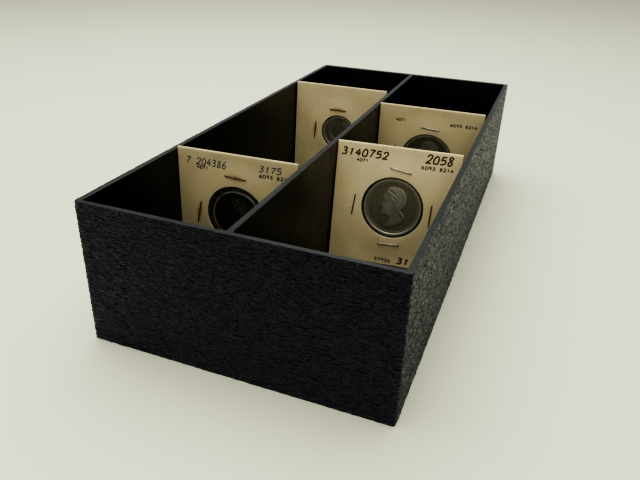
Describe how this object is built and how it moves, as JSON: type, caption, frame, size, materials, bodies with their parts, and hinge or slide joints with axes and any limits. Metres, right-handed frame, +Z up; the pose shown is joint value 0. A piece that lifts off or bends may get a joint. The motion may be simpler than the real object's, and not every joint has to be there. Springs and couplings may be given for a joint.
{
  "type": "coin display tray",
  "caption": "Open two-row desk tray for coins in square stapled cardboard holders, with textured black walls, a low divider and holders that lift out.",
  "frame": {"origin": "middle of the tray's flat underside", "axes": "+X across the two rows to the right, +Y along the rows from the front wall to the back wall, +Z up"},
  "size_m": [0.1108, 0.2294, 0.0544],
  "materials": {
    "print": "satin black printed plastic, rough fuzzy outer walls",
    "card": "aged manila-white board, matte",
    "film": "clear glossy plastic film",
    "coin": "worn toned silver-coloured metal",
    "coin_dark": "dark toned nickel-coloured metal",
    "staple": "plain steel wire, a little dull",
    "staple_rusty": "steel wire with rust"
  },
  "bodies": {
    "tray": {"tray": "print"},
    "right_front_holder": {"right_front_card": "card", "right_front_film": "film", "right_front_coin": "coin", "right_front_staples": "staple"},
    "right_back_holder": {"right_back_card": "card", "right_back_film": "film", "right_back_coin": "coin", "right_back_staples": "staple"},
    "left_front_holder": {"left_front_card": "card", "left_front_film": "film", "left_front_coin": "coin_dark", "left_front_staples": "staple_rusty"},
    "left_back_holder": {"left_back_card": "card", "left_back_film": "film", "left_back_coin": "coin", "left_back_staples": "staple_rusty"}
  },
  "joints": [
    {"name": "right_front_lift", "type": "slide", "parent": "tray", "child": "right_front_holder", "axis": [0, 0, 1], "range_m": [0, 0.06]},
    {"name": "right_back_lift", "type": "slide", "parent": "tray", "child": "right_back_holder", "axis": [0, 0, 1], "range_m": [0, 0.06]},
    {"name": "left_front_lift", "type": "slide", "parent": "tray", "child": "left_front_holder", "axis": [0, 0, 1], "range_m": [0, 0.06]},
    {"name": "left_back_lift", "type": "slide", "parent": "tray", "child": "left_back_holder", "axis": [0, 0, 1], "range_m": [0, 0.06]}
  ]
}
